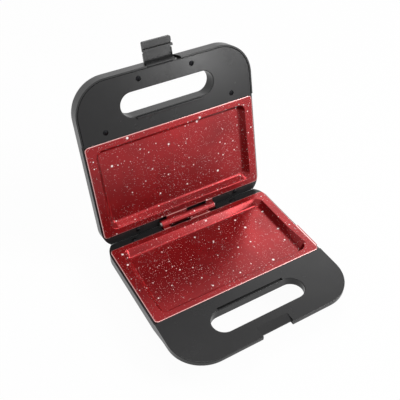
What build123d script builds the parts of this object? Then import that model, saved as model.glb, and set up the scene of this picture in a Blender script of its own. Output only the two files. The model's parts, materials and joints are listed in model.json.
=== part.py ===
from build123d import *

import os
from math import cos, radians, sin, tan

# Countertop sandwich maker, standing open. Millimetres, +Z up, +X along the hinge, +Y to the back.
# Both halves are drawn shut in half coordinates: the hinge axis is the X axis, the handles point to -Y,
# and depth is measured from the parting plane into the half, so a depth d of either half is z = -d.
# The lid's pieces are then mirrored to the other side of the parting plane and swung open.

# Overall form of both housings
body_width = 222.0
front_reach = 199.5
rear_reach = 9.0
handle_length = 70.7
front_corner = 41.0
rear_corner = 26.0
band_depth = 17.0
band_round = 2.2
bowl_depth = 35.0
bowl_margin = 7.0
bowl_rear = 7.0
bowl_lap = 4.2
bowl_corner = 26.0
bowl_taper = 22.0
bowl_round = 9.0
bowl_overlap = 5.0
wall = 2.0
open_angle = 103.0
stop_relief = 0.15
cut = 30.0

# Underside of the base handle, which rises to the slot and then thins towards its front edge
rise_end_setback = 51.5
rise_length = 23.0
rise_depth = 11.5
front_depth = 7.6

# Cooking plates
plate_margin = 2.0
plate_setback = 9.0
plate_corner = 4.5
rim_depth = 0.5
rim_thickness = 2.4
rim_round = 0.7
tray_side_rim = 11.0
tray_end_rim = 8.3
tray_corner = 9.0
tray_depth = 9.0
tray_draft = 28.0
tray_floor_round = 3.0
tray_edge_round = 1.0
plate_wall = 2.2
rim_boss_radius = 2.5
rim_boss_inset = 4.4
rim_boss_setback = 49.0
stud_radius = 4.0
stud_spread = 36.0
stud_share = 0.455

# Spout at the right side of the lower plate, with the drip lip beyond the rim
spout_front_setback = 16.4
spout_length = 38.0
spout_start_reach = 0.3
spout_end_reach = 4.8
spout_foot_reach = 4.4
spout_skin = 2.4
lip_reach = 1.8
lip_front_setback = 5.3
lip_length = 39.5
lip_thickness = 1.5

# Hinge
hinge_offset = 1.6
knuckle_radius = 5.4
knuckle_length = 28.2
ear_length = 9.0
knuckle_gap = 0.3
arm_thickness = 4.0
pin_radius = 2.0
pin_play = 0.05
pin_seat = 0.02
pin_head_radius = 3.2
pin_head_thickness = 1.2
hinge_notch_margin = 1.4
trough_radius = 7.0
stop_pad_width = 16.0
stop_pad_clearance = 18.0
stop_pad_height = 0.1
stop_pad_start = 6.5
stop_pad_end = 11.5

# Inner frames with the handle covers
face_depth = 0.75
cover_thickness = 3.5
cover_round = 0.8
cover_gap = 0.3
ledge_thickness = 2.5
ledge_lap = 1.2
opening_clearance = 1.2
opening_corner = 9.0
seam_gap = 0.4
skirt_wall = 2.0

# Grip slots, with the tongue of the lid and the groove of the base beside them
slot_margin = 52.0
slot_width = 28.6
slot_setback = 37.8
groove_margin = 16.0
groove_width = 3.2
groove_depth = 2.4
groove_strip = 0.6
tongue_play = 0.5
tongue_height = 2.4

# Latch on the lid and its catch on the base
recess_width = 43.0
recess_outer_width = 36.0
recess_setback = 8.4
latch_width = 35.0
latch_pivot_setback = 4.5
latch_pivot_depth = 11.0
latch_barrel = 3.2
latch_thickness = 2.7
latch_heel_gap = 0.1
latch_hook_height = 2.6
latch_hook_width = 2.8
latch_hook_end = 0.8
latch_groove = 2.4
latch_cap_length = 5.7
latch_cap_rise = 1.2
latch_corner = 1.6
latch_nick = 1.3
latch_nick_length = 2.0
latch_rib = 0.6
latch_rib_width = 1.2
latch_rib_length = 4.4
latch_pin_radius = 1.3
latch_pin_play = 0.06
catch_width = 39.0
catch_back_setback = 13.2
catch_front_setback = 3.2
catch_drop = 2.2
catch_edge = 1.4
catch_root_setback = 9.0
catch_root_depth = 7.0
catch_gap = 0.4
catch_relief = 0.3

# Screws
screw_shank = 1.5
screw_shank_play = 0.05
screw_hole = 1.7
screw_head = 2.7
screw_head_thickness = 1.6
screw_recess = 3.1
screw_recess_depth = 1.7
screw_bite = 6.0
cover_bite = 1.5
rim_screw_bite = 2.6
boss_radius = 3.5
front_screw_spread = 33.1
front_screw_setback = 11.0
side_screw_inset = 29.7
lid_screw_reach = 10.7
base_screw_reach = 24.7
long_screw_inset = 36.5
short_screw_inset = 45.5
rear_screw_reach = 4.5
rear_boss_width = 8.0
rear_boss_depth = 16.0

# Heating
tube_radius = 3.25
tube_contact = 0.02
loop_side_margin = 19.0
loop_end_margin = 16.6
loop_corner = 16.0
loop_gap = 44.0
cold_end_length = 14.0
cold_end_radius = 1.2
reflector_side_margin = 10.0
reflector_end_margin = 8.6
reflector_corner = 14.0
reflector_sheet = 0.6
reflector_flange = 4.0
reflector_draft = 12.0
sensor_radius = 8.0
sensor_hole = 9.5
sensor_rise = 2.3
sensor_cap_radius = 6.0
strap_width = 12.0
strap_sheet = 0.8
strap_overhang = 6.0

# Other pieces inside the base
fuse_radius = 2.4
fuse_length = 30.0
fuse_inset = 36.0
fuse_share = 0.222
clip_sheet = 0.6
clip_width = 8.0
clip_foot = 5.0
block_width = 34.0
block_length = 15.0
block_gap = 2.0
block_inset = 59.0
block_reach = 15.0
block_bores = 3
block_bore_share = 0.2

# Cord inlet
inlet_inset = 49.0
inlet_drop = 8.0
inlet_collar = 9.0
inlet_reach = 8.5
inlet_inner_reach = 12.0
bushing_radius = 5.5
bushing_bore = 3.4
bushing_flange = 7.2
bushing_flange_thickness = 2.0
bushing_length = 9.0
bushing_play = 0.05

# Feet
foot_radius = 8.5
foot_top_radius = 9.5
foot_height = 4.5
foot_inset = 26.0
foot_rear = 16.0
foot_front_setback = 27.0
foot_stem = 3.0
foot_stem_length = 3.6
foot_stem_play = 0.05

# Signal lenses of the lid
lens_radius = 3.6
lens_flange = 4.6
lens_flange_thickness = 1.4
lens_spread = 9.0
lens_setback = 35.0
lens_play = 0.05
lamp_radius = 2.4
lamp_length = 7.0
lens_wall = 0.9

# Depths and places that follow from the sizes above
ledge_depth = rim_depth + rim_thickness
ledge_bottom = ledge_depth + ledge_thickness
cover_bottom = face_depth + cover_thickness
plate_front = front_reach - handle_length
plate_length = plate_front - plate_setback
plate_middle = plate_setback + plate_length / 2
plate_width = body_width - 2 * plate_margin
tray_width = plate_width - 2 * tray_side_rim
tray_length = plate_length - 2 * tray_end_rim
bowl_width = body_width - 2 * bowl_margin
bowl_front = plate_front + bowl_lap
floor_depth = rim_depth + tray_depth
plate_bottom = floor_depth + plate_wall
stud_height = (bowl_depth - wall - plate_bottom) * stud_share
stud_bottom = plate_bottom + stud_height
reflector_bottom = stud_bottom + reflector_sheet
reflector_width = tray_width - 2 * reflector_side_margin
reflector_length = tray_length - 2 * reflector_end_margin
sensor_foot = stud_height + sensor_rise
fuse_place = reflector_width / 2 - fuse_inset
fuse_reach = plate_middle + reflector_length * fuse_share
block_place = body_width / 2 - block_inset
block_height = bowl_depth - wall - reflector_bottom - block_gap
inlet_place = body_width / 2 - inlet_inset
inlet_depth = band_depth + inlet_drop
cover_line = plate_front + cover_gap
step_line = cover_line + ledge_lap + seam_gap
draft_rate = tan(radians(tray_draft))
flare_rate = tan(radians(90 - open_angle / 2))
flare_length = 1 / cos(radians(90 - open_angle / 2))
hinge_notch = knuckle_length + knuckle_gap + ear_length + hinge_notch_margin
rise_end = front_reach - rise_end_setback
rise_start = rise_end - rise_length
rise_rate = (band_depth - rise_depth) / rise_length
thin_rate = (rise_depth - front_depth) / rise_end_setback
slot_length = body_width - 2 * slot_margin
slot_centre = front_reach - slot_setback
recess_back = front_reach - recess_setback
latch_pivot = front_reach - latch_pivot_setback
catch_back = front_reach - catch_back_setback
catch_front = front_reach - catch_front_setback
catch_depth = face_depth + catch_drop + catch_edge


def block(x0, x1, y0, y1, d0, d1):
    """Box between two x, two y and two depths."""
    middle = Pos((x0 + x1) / 2, (y0 + y1) / 2, -(d0 + d1) / 2)
    return middle * Box(x1 - x0, y1 - y0, d1 - d0)


def post(x, y, radius, d0, d1):
    """Upright cylinder between two depths."""
    return Pos(x, y, -(d0 + d1) / 2) * Cylinder(radius, d1 - d0)


def rod(x0, x1, y, depth, radius):
    """Cylinder along X."""
    return Pos((x0 + x1) / 2, y, -depth) * Rot(0, 90, 0) * Cylinder(radius, x1 - x0)


def side_prism(points, half_width):
    """Profile of (y, depth) points, as wide as twice the half width along X."""
    corners = [(y, -depth) for y, depth in points]
    face = make_face(Polyline(*corners, close=True))
    return extrude(Plane.YZ * face, amount=half_width, both=True)


def slab(face, d0, d1):
    """A flat face as a plate between two depths."""
    return extrude(Pos(0, 0, -d1) * face, amount=d1 - d0)


def panel(width, length, corner, middle):
    """Rounded rectangle, centred across the body."""
    return Pos(0, -middle) * RectangleRounded(width, length, corner)


def outline(inset):
    """Plan outline of a housing: wide round corners at the handle, smaller ones at the hinge."""
    length = front_reach + rear_reach - 2 * inset
    face = Pos(0, (rear_reach - front_reach) / 2) * Rectangle(body_width - 2 * inset, length)
    face = fillet(face.vertices().group_by(Axis.Y)[0], front_corner - inset)
    return fillet(face.vertices().group_by(Axis.Y)[-1], rear_corner - inset)


def slot_face(grow):
    """Plan outline of the grip slot, grown all round."""
    return Pos(0, -slot_centre) * SlotOverall(slot_length + 2 * grow, slot_width + 2 * grow)


def behind_flare(inset):
    """All that lies behind the plane where the rear walls of the two halves meet when open."""
    setback = (stop_relief + inset) * flare_length
    top = -cut
    bottom = bowl_depth + cut
    points = [
        (flare_rate * top - setback, top),
        (flare_rate * bottom - setback, bottom),
        (flare_rate * bottom + cut, bottom),
        (flare_rate * bottom + cut, top),
    ]
    return side_prism(points, body_width)


def underside(reach):
    """Depth of the underside of the base handle at a distance from the hinge."""
    if reach < rise_start:
        return band_depth
    if reach < rise_end:
        return band_depth - rise_rate * (reach - rise_start)
    return rise_depth - thin_rate * (reach - rise_end)


def handle_slope(inset):
    """All that lies under the underside of the base handle."""
    far = front_reach + cut
    points = [(-reach, underside(reach) - inset) for reach in (rise_start, rise_end, far)]
    points = points + [(-far, band_depth + cut), (-rise_start, band_depth + cut)]
    return side_prism(points, body_width)


def bowl(inset):
    """Tapered bowl of a housing, below its band."""
    start = band_depth - bowl_overlap
    length = bowl_rear + bowl_front - 2 * inset
    face = panel(bowl_width - 2 * inset, length, bowl_corner - inset, (bowl_front - bowl_rear) / 2)
    depth = bowl_depth - inset - start
    form = extrude(Pos(0, 0, -start) * face, amount=-depth, taper=bowl_taper)
    return fillet(form.edges().group_by(Axis.Z)[0], bowl_round - inset)


def band(inset, top, sloped):
    """Flat body of a housing with its handle, rounded along its lower edge."""
    form = slab(outline(inset), -cut, band_depth - inset)
    if sloped:
        form = form - handle_slope(inset)
    rims = form.edges().filter_by(Axis.Z, reverse=True)
    rims = rims.filter_by(lambda edge: edge.center().Z < cut / 2)
    rims = rims.filter_by(lambda edge: abs(edge.center().X) > wall or not is_crease(edge.center().Y))
    form = fillet(rims, band_round - inset)
    return form - block(-body_width, body_width, -front_reach - cut, cut, -cut - wall, top)


def is_crease(y):
    """Whether a place lies on one of the two creases of the base handle's underside."""
    return min(abs(y + rise_start), abs(y + rise_end)) < wall / 2


def housing(inset, top, sloped):
    """Solid form of a housing, grown inwards by the inset."""
    return band(inset, top, sloped) + bowl(inset) - behind_flare(inset)


def shell(top, sloped):
    """Open housing wall, with the collar round the grip slot and the trough round the hinge."""
    outer = housing(0, top, sloped)
    form = outer - housing(wall, -cut, sloped)
    collar = slab(slot_face(wall), cover_bottom, band_depth)
    grown = housing(0, face_depth, sloped)
    form = form + (collar & grown)
    left = hinge_offset - hinge_notch
    right = hinge_offset + hinge_notch
    trough = rod(left - wall, right + wall, 0, 0, trough_radius + wall)
    deep = block(-body_width, body_width, -cut, cut, ledge_bottom, bowl_depth)
    form = form + (trough & grown & deep)
    form = form - rod(left, right, 0, 0, trough_radius)
    return form - slab(slot_face(0), -cut, band_depth + cut)


def stop_pads():
    """Pads on the rear wall that meet the other half's pads and hold the lid open."""
    inner = stop_relief * flare_length + wall / 2
    outer = (stop_relief - stop_pad_height) * flare_length
    points = [
        (flare_rate * stop_pad_start - inner, stop_pad_start),
        (flare_rate * stop_pad_start - outer, stop_pad_start),
        (flare_rate * stop_pad_end - outer, stop_pad_end),
        (flare_rate * stop_pad_end - inner, stop_pad_end),
    ]
    pad = side_prism(points, stop_pad_width / 2)
    place = hinge_notch + stop_pad_clearance
    return [Pos(x, 0, 0) * pad for x in (-place, place)]


def rear_screw_places(side):
    """The two screws beside the hinge, unevenly spread, and the other way round on the other half."""
    half = body_width / 2
    return [(side * x, -rear_screw_reach) for x in (long_screw_inset - half, half - short_screw_inset)]


def handle_screw_places(reach):
    """The four screws of a handle cover, the side ones at a distance from the cooking plate's edge."""
    x = body_width / 2 - side_screw_inset
    front = [(sx * front_screw_spread, front_screw_setback - front_reach) for sx in (-1, 1)]
    sides = [(sx * x, -plate_front - reach) for sx in (-1, 1)]
    return front + sides


def rim_screw_places():
    """The four screws that hold a plate's rim on its frame."""
    x = plate_width / 2 - rim_boss_inset
    near = plate_setback + rim_boss_setback
    far = plate_front - rim_boss_setback
    return [(sx * x, -y) for sx in (-1, 1) for y in (near, far)]


def rear_bosses(side):
    """Blocks on the rear wall that take the screws beside the hinge."""
    grown = housing(0, face_depth, False)
    form = []
    for x, y in rear_screw_places(side):
        half = rear_boss_width / 2
        reach = block(x - half, x + half, y - half, rear_reach, ledge_bottom, rear_boss_depth)
        form.append(reach & grown)
    return form


def shank_hole(x, y, top, length):
    """Blind hole that a screw's shank bites in."""
    return post(x, y, screw_shank + screw_shank_play, top, top + length)


def base_shell():
    """Lower housing: bowl, band and handle underside, with posts, sockets and the cord inlet."""
    form = shell(ledge_bottom, True)
    form = form + rear_bosses(1) + stop_pads()
    collar = Pos(inlet_place, (inlet_reach - inlet_inner_reach) / 2, -inlet_depth) * Rot(90, 0, 0)
    collar = collar * Cylinder(inlet_collar, inlet_reach + inlet_inner_reach)
    reach = block(-body_width, body_width, -cut, inlet_reach, band_depth, bowl_depth - wall / 2)
    form = form + (collar & reach)
    bore = Pos(inlet_place, 0, -inlet_depth) * Rot(90, 0, 0)
    form = form - bore * Cylinder(bushing_radius + bushing_play, front_reach / 2)
    for x, y in rear_screw_places(1):
        form = form - shank_hole(x, y, ledge_bottom - wall, screw_bite + wall)
    for x, y in handle_screw_places(base_screw_reach):
        form = form - post(x, y, screw_hole, 0, band_depth + cut)
        form = form - post(x, y, screw_recess, screw_seat(y), band_depth + cut)
    for x, y in foot_places():
        form = form - post(x, y, foot_stem + foot_stem_play, bowl_depth - foot_stem_length, bowl_depth + cut)
    half = catch_width / 2
    back = catch_relief - catch_back
    return form - block(-half, half, -front_reach - cut, back, 0, bowl_depth)


def screw_seat(y):
    """Depth of the seat of a handle screw's head in the base, under the sloping wall."""
    return underside(-y) - screw_recess_depth


def foot_places():
    """Centres of the four feet."""
    x = bowl_width / 2 - foot_inset
    return [(sx * x, -y) for sx in (-1, 1) for y in (foot_rear, bowl_front - foot_front_setback)]


def ledge():
    """Ledge that carries a plate's rim, as wide as the housing, open under the tray."""
    form = slab(outline(0), ledge_depth, ledge_bottom)
    form = form - block(-body_width, body_width, -front_reach - cut, -cover_line - ledge_lap, -cut, cut)
    shrink = rim_thickness * draft_rate - plate_skin()
    width = tray_width - 2 * shrink + 2 * opening_clearance
    length = tray_length - 2 * shrink + 2 * opening_clearance
    form = form - slab(panel(width, length, opening_corner, plate_middle), -cut, cut)
    arms = -plate_setback - rim_round - knuckle_gap
    form = form - block(hinge_offset - hinge_notch, hinge_offset + hinge_notch, arms, cut, -cut, cut)
    for x, y in rim_screw_places():
        form = form - post(x, y, rim_boss_radius + opening_clearance / 4, -cut, cut)
    return form - behind_flare(0)


def rear_screw_holes(side):
    """Clearance holes of the two screws beside the hinge."""
    return [post(x, y, screw_hole, -cut, cut) for x, y in rear_screw_places(side)]


def handle_zone(inset, d0, d1):
    """Plate in the shape of a handle, from the cooking plate's front edge to the front."""
    form = slab(outline(inset), d0, d1)
    return form - block(-body_width, body_width, -cover_line, cut, -cut, cut)


def soften(form, depth):
    """Rounds the outer and the slot's edges of a handle cover on its face."""
    rims = form.edges().filter_by(lambda edge: abs(edge.center().Z + depth) < cover_round / 4)
    rims = rims.filter_by(lambda edge: edge.center().Y < -cover_line - cover_gap)
    return fillet(rims, cover_round)


def base_frame():
    """Lower inner frame: ledge round the plate and handle cover with the groove and the catch."""
    cover = soften(handle_zone(0, face_depth, ledge_bottom) - slab(slot_face(0), -cut, cut), face_depth)
    hollow = handle_zone(skirt_wall, cover_bottom, ledge_bottom + cut)
    hollow = hollow - slab(slot_face(wall + seam_gap), -cut, cut)
    hollow = hollow - block(-body_width, body_width, -cover_line - ledge_lap - wall, cut, -cut, cut)
    cover = cover - hollow
    cover = cover - slab(slot_face(wall), cover_bottom, ledge_bottom + cut)
    y = groove_middle()
    half = groove_width / 2
    reach = slot_length / 2 - groove_margin
    cover = cover - block(-reach, reach, y - half, y + half, -cut, face_depth + groove_depth)
    width = catch_width / 2
    cover = cover - block(-width, width, -front_reach - cut, -catch_back, -cut, cut)
    cover = cover & housing(0, face_depth, True)
    form = cover + (ledge() - spout_room()) + catch()
    inside = housing(wall, face_depth, True)
    for x, y in handle_screw_places(base_screw_reach):
        boss = post(x, y, boss_radius, cover_bottom, band_depth) & inside
        form = form + boss - shank_hole(x, y, cover_bottom - cover_bite, band_depth)
    return form - rear_screw_holes(1)


def catch():
    """Ramp in the front edge of the base cover, thinning to the lip that the latch hooks under."""
    root = catch_root_setback - front_reach
    points = [
        (-catch_back, face_depth),
        (-catch_front, face_depth + catch_drop),
        (-catch_front, catch_depth),
        (root, catch_root_depth),
        (-catch_back, catch_root_depth),
    ]
    return side_prism(points, catch_width / 2)


def groove_middle():
    """Place across the hinge of the middle of the groove and the tongue."""
    return -slot_centre + slot_width / 2 + groove_strip + groove_width / 2


def lid_shell():
    """Upper housing: dome, band and handle, with screw posts, the latch recess and lens holes."""
    grown = housing(0, face_depth, False)
    form = shell(face_depth, False)
    form = form - block(-body_width, body_width, -step_line, cut, -cut, ledge_bottom)
    form = form + rear_bosses(-1) + stop_pads()
    half = recess_width / 2
    cheeks = block(-half - wall, half + wall, -front_reach, -recess_back + wall, cover_bottom, band_depth)
    form = form + (cheeks & grown) - recess()
    form = form - rod(-half - wall, half + wall, -latch_pivot, latch_pivot_depth, latch_pin_radius + pin_seat)
    for x, y in handle_screw_places(lid_screw_reach):
        form = form + post(x, y, boss_radius, cover_bottom, band_depth - wall / 2)
        form = form - shank_hole(x, y, cover_bottom - wall, screw_bite + wall)
    for x, y in rear_screw_places(-1):
        form = form - shank_hole(x, y, ledge_bottom - wall, screw_bite + wall)
    for x, y in lens_places():
        form = form - post(x, y, lens_radius + lens_play, bowl_depth - cut / 2, bowl_depth + cut)
    return form


def recess():
    """Room of the latch in the lid's front edge, narrower at the outer face."""
    inner = recess_width / 2
    outer = recess_outer_width / 2
    corners = [
        (-inner, cut),
        (-inner, -cover_bottom),
        (-outer, -band_depth),
        (-outer, -band_depth - cut),
        (outer, -band_depth - cut),
        (outer, -band_depth),
        (inner, -cover_bottom),
        (inner, cut),
    ]
    face = Plane.XZ * make_face(Polyline(*corners, close=True))
    return Pos(0, -recess_back, 0) * extrude(face, amount=cut)


def lens_places():
    """Centres of the two signal lenses."""
    return [(sx * lens_spread, lens_setback - bowl_front) for sx in (-1, 1)]


def lid_frame():
    """Upper inner frame: ledge round the plate and inset handle cover with the tongue."""
    inset = wall + seam_gap
    cover = soften(handle_zone(inset, face_depth, cover_bottom) - slab(slot_face(0), -cut, cut), face_depth)
    half = groove_width / 2 - tongue_play
    length = slot_length / 2 - groove_margin - tongue_play
    y = groove_middle()
    tongue = block(-length, length, y - half, y + half, face_depth - tongue_height, cover_bottom)
    tongue = fillet(tongue.edges().group_by(Axis.Z)[-1], half / 2)
    form = cover + ledge() + tongue
    for x, y in handle_screw_places(lid_screw_reach):
        form = form - post(x, y, screw_hole, -cut, cut)
        form = form - post(x, y, screw_recess, -cut, face_depth + screw_recess_depth)
    return form - rear_screw_holes(-1)


def plate_skin():
    """Distance, level with the rim, between the inner and the outer side of a tray's sloping wall."""
    return plate_wall / cos(radians(tray_draft))


def plate(side):
    """Cast cooking plate: flat rim, drafted tray, rim bosses, studs, and its share of the hinge."""
    rim = slab(panel(plate_width, plate_length, plate_corner, plate_middle), rim_depth, ledge_depth)
    pan = panel(tray_width + 2 * plate_skin(), tray_length + 2 * plate_skin(), tray_corner, plate_middle)
    depth = plate_bottom - rim_depth
    pan = extrude(Pos(0, 0, -rim_depth) * pan, amount=-depth, taper=tray_draft)
    form = rim + pan
    top = form.edges().filter_by(lambda edge: abs(edge.center().Z + rim_depth) < rim_round / 4)
    form = fillet(top, rim_round)
    if side > 0:
        form = form + spout(spout_skin, rim_depth + rim_thickness / 2, plate_bottom)
    tray = panel(tray_width, tray_length, tray_corner, plate_middle)
    tray = extrude(Pos(0, 0, -rim_depth) * tray, amount=-tray_depth, taper=tray_draft)
    form = form - fillet(tray.edges().group_by(Axis.Z)[0], tray_floor_round)
    if side > 0:
        form = form - spout(0, -rim_depth, floor_depth - tray_floor_round / 2)
    form = ease_tray(form)
    for x, y in rim_screw_places():
        form = form + post(x, y, rim_boss_radius, ledge_depth, ledge_bottom)
        form = form - shank_hole(x, y, ledge_bottom - rim_screw_bite, rim_screw_bite)
    for x in (-stud_spread, stud_spread):
        form = form + post(x, -plate_middle, stud_radius, plate_bottom - plate_wall / 2, stud_bottom)
        form = form - shank_hole(x, -plate_middle, stud_bottom - screw_bite, screw_bite)
    return form + knuckles(side)


def ease_tray(form):
    """Rounds the upper edge of a plate's tray."""
    x = plate_width / 2 - rim_thickness
    edges = form.edges().filter_by(lambda edge: abs(edge.center().Z + rim_depth) < rim_round / 4)
    edges = edges.filter_by(lambda edge: abs(edge.center().X) < x)
    edges = edges.filter_by(lambda edge: abs(edge.center().Y + plate_middle) < plate_length / 2 - rim_thickness)
    return fillet(edges, tray_edge_round)


def spout(skin, top, bottom):
    """Wedge beside the tray's right wall that widens to the front; the skin grows it outwards."""
    x = tray_width / 2
    rise = (bottom - top) / (floor_depth - rim_depth)
    sections = []
    for setback, reach in ((spout_length, spout_start_reach), (0, spout_end_reach)):
        y = spout_front_setback + setback - plate_front - skin * (1 if setback == 0 else -1)
        foot = x - spout_foot_reach + skin
        head = foot + (spout_foot_reach + reach) * rise
        corners = [(x - tray_side_rim, -top), (head, -top), (foot, -bottom), (x - tray_side_rim, -bottom)]
        face = make_face(Polyline(*corners, close=True))
        sections.append(Plane(origin=(0, y, 0), x_dir=(1, 0, 0), z_dir=(0, -1, 0)) * face)
    return loft(sections, ruled=True)


def spout_room():
    """Room in the ledge for the wall under the spout."""
    grow = spout_skin + opening_clearance / 2
    x = tray_width / 2
    y0 = spout_front_setback - plate_front - grow
    y1 = spout_front_setback + spout_length - plate_front + grow
    return block(x, x + spout_end_reach + spout_skin, y0, y1, -cut, cut)


def knuckles(side):
    """A long knuckle on one side of the middle and a short ear beyond the other plate's knuckle."""
    ear = knuckle_length + knuckle_gap
    form = []
    for x0, x1 in ((knuckle_gap / 2, knuckle_length), (-ear - ear_length, -ear)):
        x0, x1 = sorted((hinge_offset + side * x0, hinge_offset + side * x1))
        barrel = rod(x0, x1, 0, 0, knuckle_radius)
        arm = block(x0, x1, -plate_setback - rim_round, 0, rim_depth, rim_depth + arm_thickness)
        play = pin_seat if side > 0 else pin_play
        form.append(barrel + arm - rod(x0, x1, 0, 0, pin_radius + play))
    return form


def lower_plate():
    """Lower plate, with the drain lip along the front of its right side."""
    half = plate_width / 2
    y = lip_front_setback - plate_front
    lip = block(half - rim_thickness, half + lip_reach, y, y + lip_length, rim_depth, rim_depth + lip_thickness)
    corners = lip.edges().filter_by(Axis.Z).group_by(Axis.X)[-1]
    return plate(1) + fillet(corners, lip_reach / 2)


def hinge_pin():
    """Steel rod through all knuckles, with a flat head at its left end."""
    end = knuckle_length + knuckle_gap + ear_length
    head = rod(-end - pin_head_thickness, -end, 0, 0, pin_head_radius)
    form = head + rod(-end - pin_head_thickness / 2, end + pin_head_thickness, 0, 0, pin_radius)
    return Pos(hinge_offset, 0, 0) * form


def hinge_pin_clip():
    """Push-on ring that keeps the hinge pin from sliding out."""
    end = knuckle_length + knuckle_gap + ear_length
    ring = rod(end, end + pin_head_thickness, 0, 0, pin_head_radius)
    return Pos(hinge_offset, 0, 0) * (ring - rod(end - wall, end + wall, 0, 0, pin_radius + pin_seat))


def screw(x, y, seat, length, downwards):
    """Round-headed screw with its seat at a depth; its shank runs to greater depth, or back."""
    way = 1 if downwards else -1
    d0, d1 = sorted((seat, seat + way * length))
    shank = post(x, y, screw_shank, d0, d1)
    h0, h1 = sorted((seat, seat - way * screw_head_thickness))
    head = post(x, y, screw_head, h0, h1)
    crown = head.edges().filter_by(GeomType.CIRCLE)
    crown = crown.group_by(Axis.Z)[-1 if downwards else 0]
    return fillet(crown, screw_head_thickness / 2) + shank


def group(pieces):
    """Separate solids that share one node."""
    return Compound(children=[piece.solid() for piece in pieces])


def rim_screws():
    """Screws from behind the ledge into the plate's rim bosses."""
    pieces = []
    for x, y in rim_screw_places():
        head = screw(x, y, ledge_bottom, rim_screw_bite - screw_shank_play, False)
        washer = post(x, y, screw_head + wall / 4, ledge_bottom, ledge_bottom + wall / 4)
        pieces.append(Pos(0, 0, 0) * (head + washer))
    return group(pieces)


def reflector_screws(extra):
    """Screws through the reflector into the plate's studs; a strap may lie under their heads."""
    seat = reflector_bottom + extra
    length = seat - stud_bottom + screw_bite - screw_shank_play
    return group([screw(x, -plate_middle, seat, length, False) for x in (-stud_spread, stud_spread)])


def rear_screws(side):
    """The two screws beside the hinge, from the ledge into the housing's rear bosses."""
    length = ledge_thickness + screw_bite - screw_shank_play
    return [screw(x, y, ledge_depth, length, True) for x, y in rear_screw_places(side)]


def lid_frame_screws():
    """The four recessed screws of the lid's handle cover and the two beside the hinge."""
    seat = face_depth + screw_recess_depth
    length = cover_bottom - seat + screw_bite - screw_shank_play
    cover = [screw(x, y, seat, length, True) for x, y in handle_screw_places(lid_screw_reach)]
    return group(cover + rear_screws(-1))


def base_handle_screws():
    """The four screws from under the base handle into the bosses of its cover."""
    pieces = []
    for x, y in handle_screw_places(base_screw_reach):
        seat = screw_seat(y)
        pieces.append(screw(x, y, seat, seat - cover_bottom + cover_bite - screw_shank_play, False))
    return group(pieces)


def heater():
    """Tubular heating element: one loop against the plate, with a cold pin at each end."""
    x = tray_width / 2 - loop_side_margin
    reach = tray_length / 2 - loop_end_margin
    near = -plate_middle + reach
    far = -plate_middle - reach
    gap = loop_gap / 2
    level = plate_bottom + tube_contact + tube_radius
    corners = [(-gap, near), (-x, near), (-x, far), (x, far), (x, near), (gap, near)]
    path = FilletPolyline(*corners, radius=loop_corner)
    ring = Plane(origin=(-gap, near, 0), z_dir=(-1, 0, 0)) * Circle(tube_radius)
    tube = Pos(0, 0, -level) * sweep(ring, path=path)
    left = rod(-gap - pin_radius, -gap + cold_end_length, near, level, cold_end_radius)
    right = rod(gap - cold_end_length, gap + pin_radius, near, level, cold_end_radius)
    return tube + left + right


def reflector():
    """Drawn sheet tray behind the heating element, screwed to the studs."""
    depth = reflector_bottom - plate_bottom - tube_contact
    top = plate_bottom + tube_contact
    face = panel(reflector_width, reflector_length, reflector_corner, plate_middle)
    form = extrude(Pos(0, 0, -top) * face, amount=-depth, taper=reflector_draft)
    size = reflector_flange * 2
    flange = panel(reflector_width + size, reflector_length + size, reflector_corner, plate_middle)
    form = form + slab(flange, top, top + reflector_sheet)
    sheet = 2 * reflector_sheet
    inner = panel(reflector_width - sheet, reflector_length - sheet, reflector_corner, plate_middle)
    form = form - extrude(Pos(0, 0, -top) * inner, amount=-depth + reflector_sheet, taper=reflector_draft)
    for x in (-stud_spread, stud_spread):
        form = form - post(x, -plate_middle, screw_hole, 0, bowl_depth)
    return form - post(0, -plate_middle, sensor_hole, 0, bowl_depth)


def thermostat():
    """Disc thermostat, pressed on the back of the lower plate through the reflector."""
    foot = plate_bottom + tube_contact
    cap = post(0, -plate_middle, sensor_cap_radius, foot, reflector_bottom)
    body = post(0, -plate_middle, sensor_radius, foot + wall, foot + sensor_foot - wall)
    neck = post(0, -plate_middle, sensor_cap_radius, foot, foot + sensor_foot)
    return cap + body + neck


def thermostat_strap():
    """Steel strap under the heads of the reflector's screws, with the thermostat's hole."""
    x = stud_spread + strap_overhang
    y = strap_width / 2
    bottom = reflector_bottom + strap_sheet
    form = block(-x, x, -plate_middle - y, -plate_middle + y, reflector_bottom, bottom)
    form = fillet(form.edges().filter_by(Axis.Z), y / 2)
    wide = post(0, -plate_middle, sensor_hole, reflector_bottom, bottom)
    form = form + wide - post(0, -plate_middle, sensor_cap_radius + tube_contact, 0, bowl_depth)
    for x in (-stud_spread, stud_spread):
        form = form - post(x, -plate_middle, screw_hole, 0, bowl_depth)
    return form


def thermal_fuse():
    """Sleeved thermal fuse, lying across the back of the reflector."""
    half = fuse_length / 2
    level = reflector_bottom + fuse_radius
    sleeve = rod(fuse_place - half, fuse_place + half, -fuse_reach, level, fuse_radius)
    leads = rod(fuse_place - half - wall, fuse_place + half + wall, -fuse_reach, level, fuse_radius / 3)
    return sleeve + leads


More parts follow.
